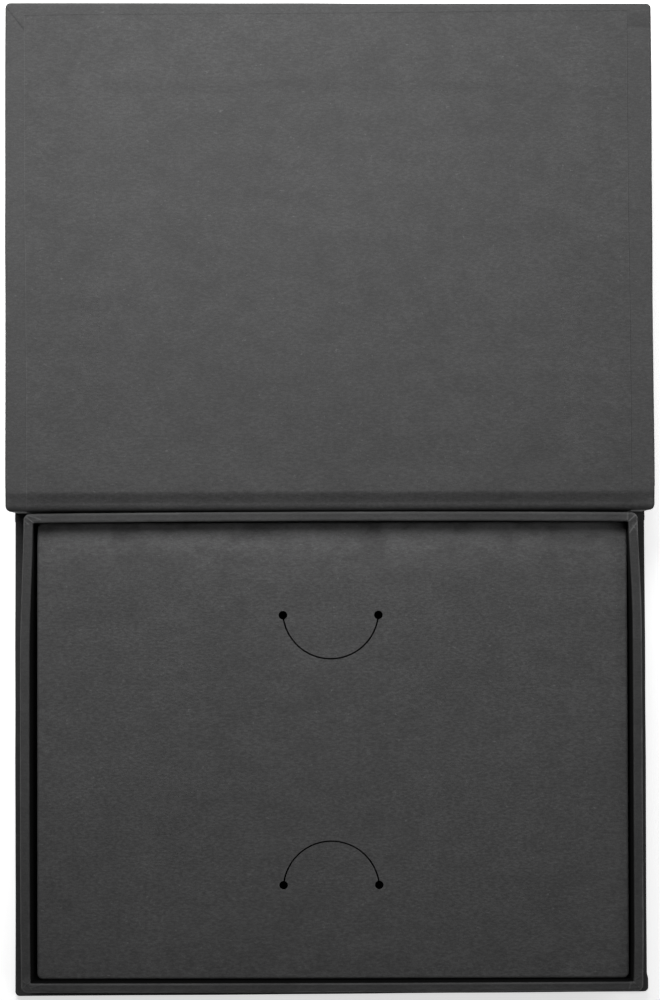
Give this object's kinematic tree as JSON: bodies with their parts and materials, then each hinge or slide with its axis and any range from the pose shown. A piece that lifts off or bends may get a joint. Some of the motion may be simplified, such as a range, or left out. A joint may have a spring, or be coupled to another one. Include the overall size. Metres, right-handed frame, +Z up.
{
  "type": "clamshell book box",
  "caption": "Shallow box in the form of a book: a wrapped, lined cover folds over a papered tray, whose folded card platform holds a card under curved tabs.",
  "frame": {"origin": "on the table, under the middle of the tray", "axes": "+X along the cover's hinge, +Y from the tray to the open cover, +Z up; the cover lies open at rest"},
  "size_m": [0.15, 0.2318, 0.0224],
  "materials": {
    "case_paper": "uncoated charcoal covering paper, dyed through, fine fibres",
    "lining_paper": "uncoated charcoal lining paper, slightly mottled by paste",
    "tray_paper": "uncoated charcoal covering paper, worn a little lighter on its folds",
    "platform_card": "uncoated charcoal card, smooth, with lighter cut edges",
    "grey_board": "rough recycled grey board",
    "corner_tape": "gummed brown kraft tape"
  },
  "bodies": {
    "tray": {"back_board": "grey_board", "case_paper_back": "case_paper", "spine_board": "grey_board", "case_paper_spine": "case_paper", "liner_spine": "lining_paper", "tray_floor": "grey_board", "tray_wall_front": "grey_board", "tray_wall_back": "grey_board", "tray_wall_left": "grey_board", "tray_wall_right": "grey_board", "corner_stay_front_left": "corner_tape", "corner_stay_front_right": "corner_tape", "corner_stay_back_left": "corner_tape", "corner_stay_back_right": "corner_tape", "tray_paper": "tray_paper", "floor_lining": "lining_paper", "platform_card": "platform_card", "case_paper_hinge": "case_paper", "liner_hinge": "lining_paper"},
    "cover": {"front_board": "grey_board", "case_paper_front": "case_paper", "liner_front": "lining_paper"},
    "rear_tab": {"rear_card_tab": "platform_card"},
    "front_tab": {"front_card_tab": "platform_card"}
  },
  "joints": [
    {"name": "cover_hinge", "type": "hinge", "parent": "tray", "child": "cover", "pos_m": [0, 0.0572, 0.02255], "axis": [1, 0, 0], "range_deg": [-9.5, 180], "deforming": ["case_paper_hinge", "liner_hinge"]},
    {"name": "rear_tab_bend", "type": "hinge", "parent": "tray", "child": "rear_tab", "pos_m": [0, 0.0313, 0.0175], "axis": [-1, 0, 0], "range_deg": [0, 20], "stiffness_Nm_per_rad": 0.0002},
    {"name": "front_tab_bend", "type": "hinge", "parent": "tray", "child": "front_tab", "pos_m": [0, -0.0313, 0.0175], "axis": [1, 0, 0], "range_deg": [0, 20], "stiffness_Nm_per_rad": 0.0002}
  ]
}
